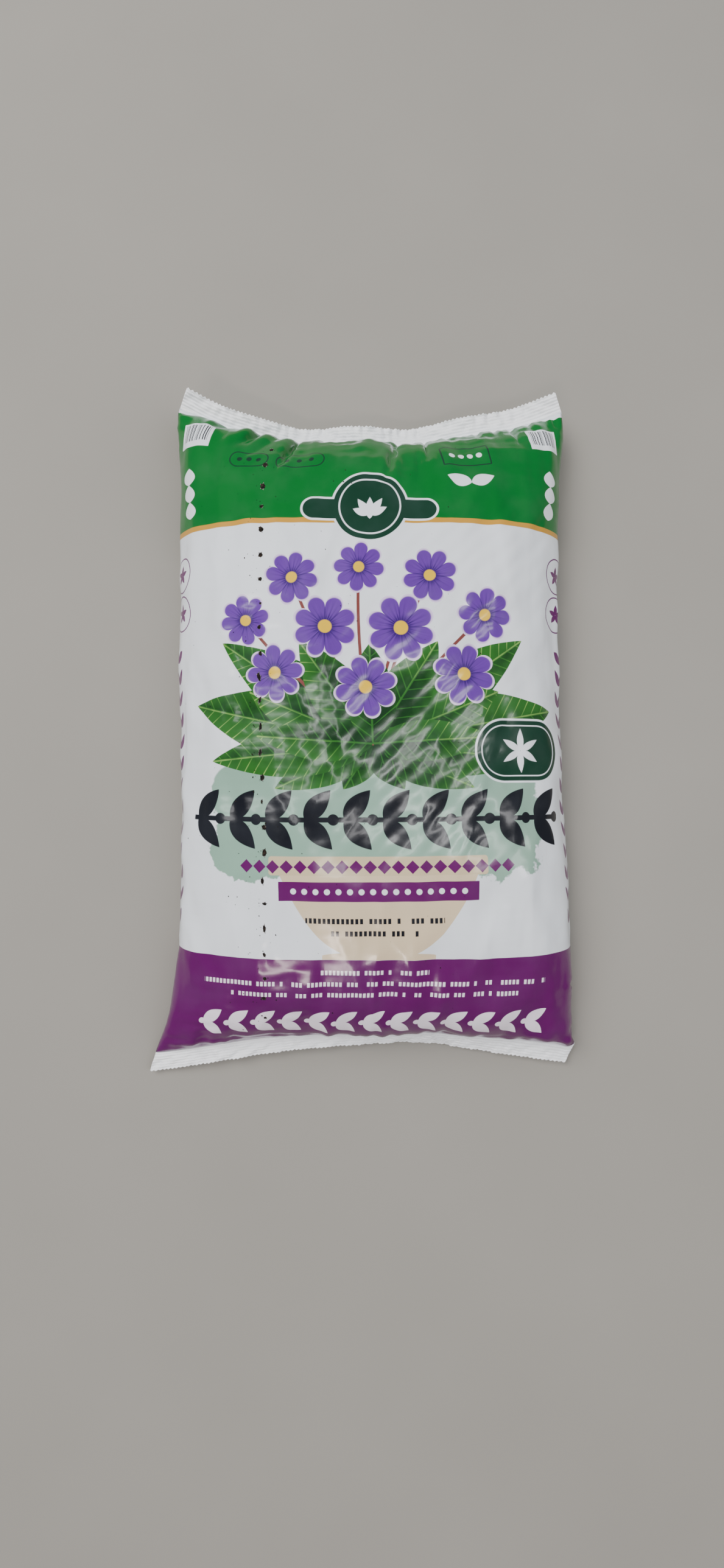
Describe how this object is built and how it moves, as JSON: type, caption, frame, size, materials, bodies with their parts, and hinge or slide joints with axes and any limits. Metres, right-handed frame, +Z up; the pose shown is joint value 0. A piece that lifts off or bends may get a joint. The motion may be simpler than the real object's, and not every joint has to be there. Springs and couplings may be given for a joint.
{
  "type": "compost bag",
  "caption": "Sealed pillow bag of potting compost in printed plastic film, lying on its back, with pinked end seals, a flat back seal and a row of vent pricks.",
  "frame": {"origin": "on the floor, under the middle of the bag's box", "axes": "+X across the bag to its right edge, +Y along the bag to its top seal, +Z up out of its front"},
  "size_m": [0.219, 0.3522, 0.051],
  "materials": {
    "printed_film": "glossy polyethylene film, white with a green, gold, purple and grey-green print"
  },
  "bodies": {
    "root": {"compost_bag": "printed_film"}
  },
  "joints": []
}
